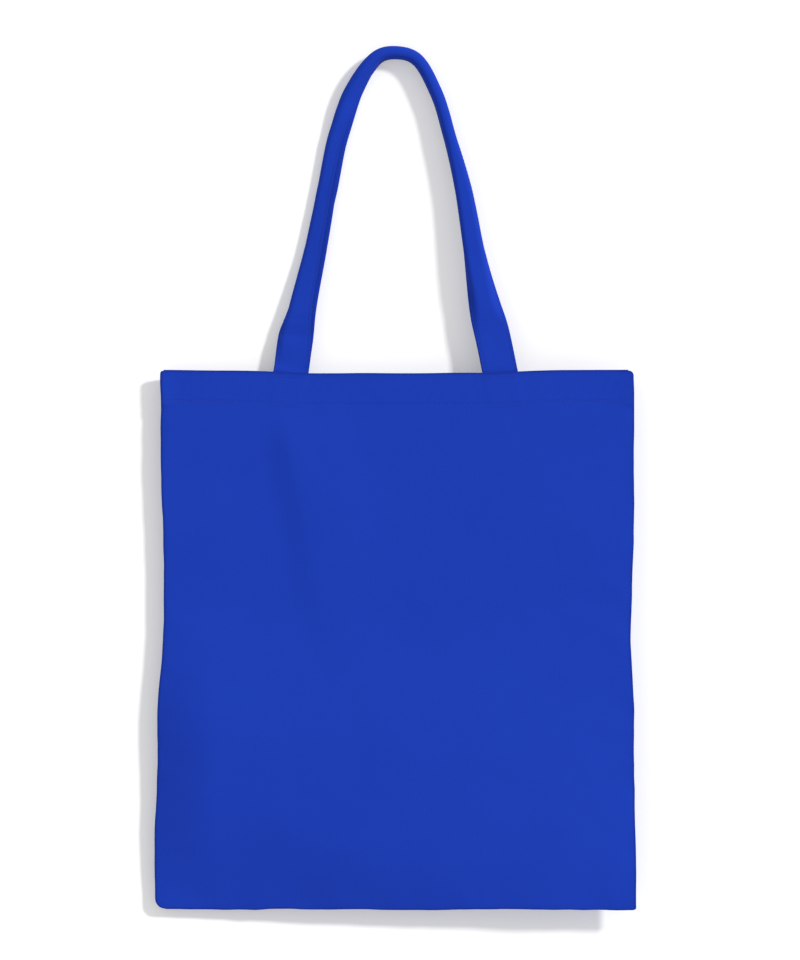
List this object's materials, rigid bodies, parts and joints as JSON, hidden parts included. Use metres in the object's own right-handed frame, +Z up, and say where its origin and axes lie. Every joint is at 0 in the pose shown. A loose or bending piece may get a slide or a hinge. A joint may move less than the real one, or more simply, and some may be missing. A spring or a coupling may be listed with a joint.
{
  "type": "cotton shopping bag",
  "caption": "Flat cotton carrier bag lying down: front and back panels sewn at the sides and bottom, hemmed open mouth, and cloth handle loops sewn inside the hem.",
  "frame": {"origin": "middle of the back panel's underside, on the surface the bag lies on", "axes": "+X across the bag, +Y from the bottom seam towards the mouth and the handles, +Z up from the surface"},
  "size_m": [0.3574, 0.642, 0.0296],
  "materials": {
    "cotton_cloth": "matt plain-weave cotton, dyed blue",
    "cotton_strap": "the same cotton folded and sewn into flat handles"
  },
  "bodies": {
    "root": {"front_panel": "cotton_cloth", "back_panel": "cotton_cloth", "front_handle": "cotton_strap", "back_handle": "cotton_strap"}
  },
  "joints": []
}
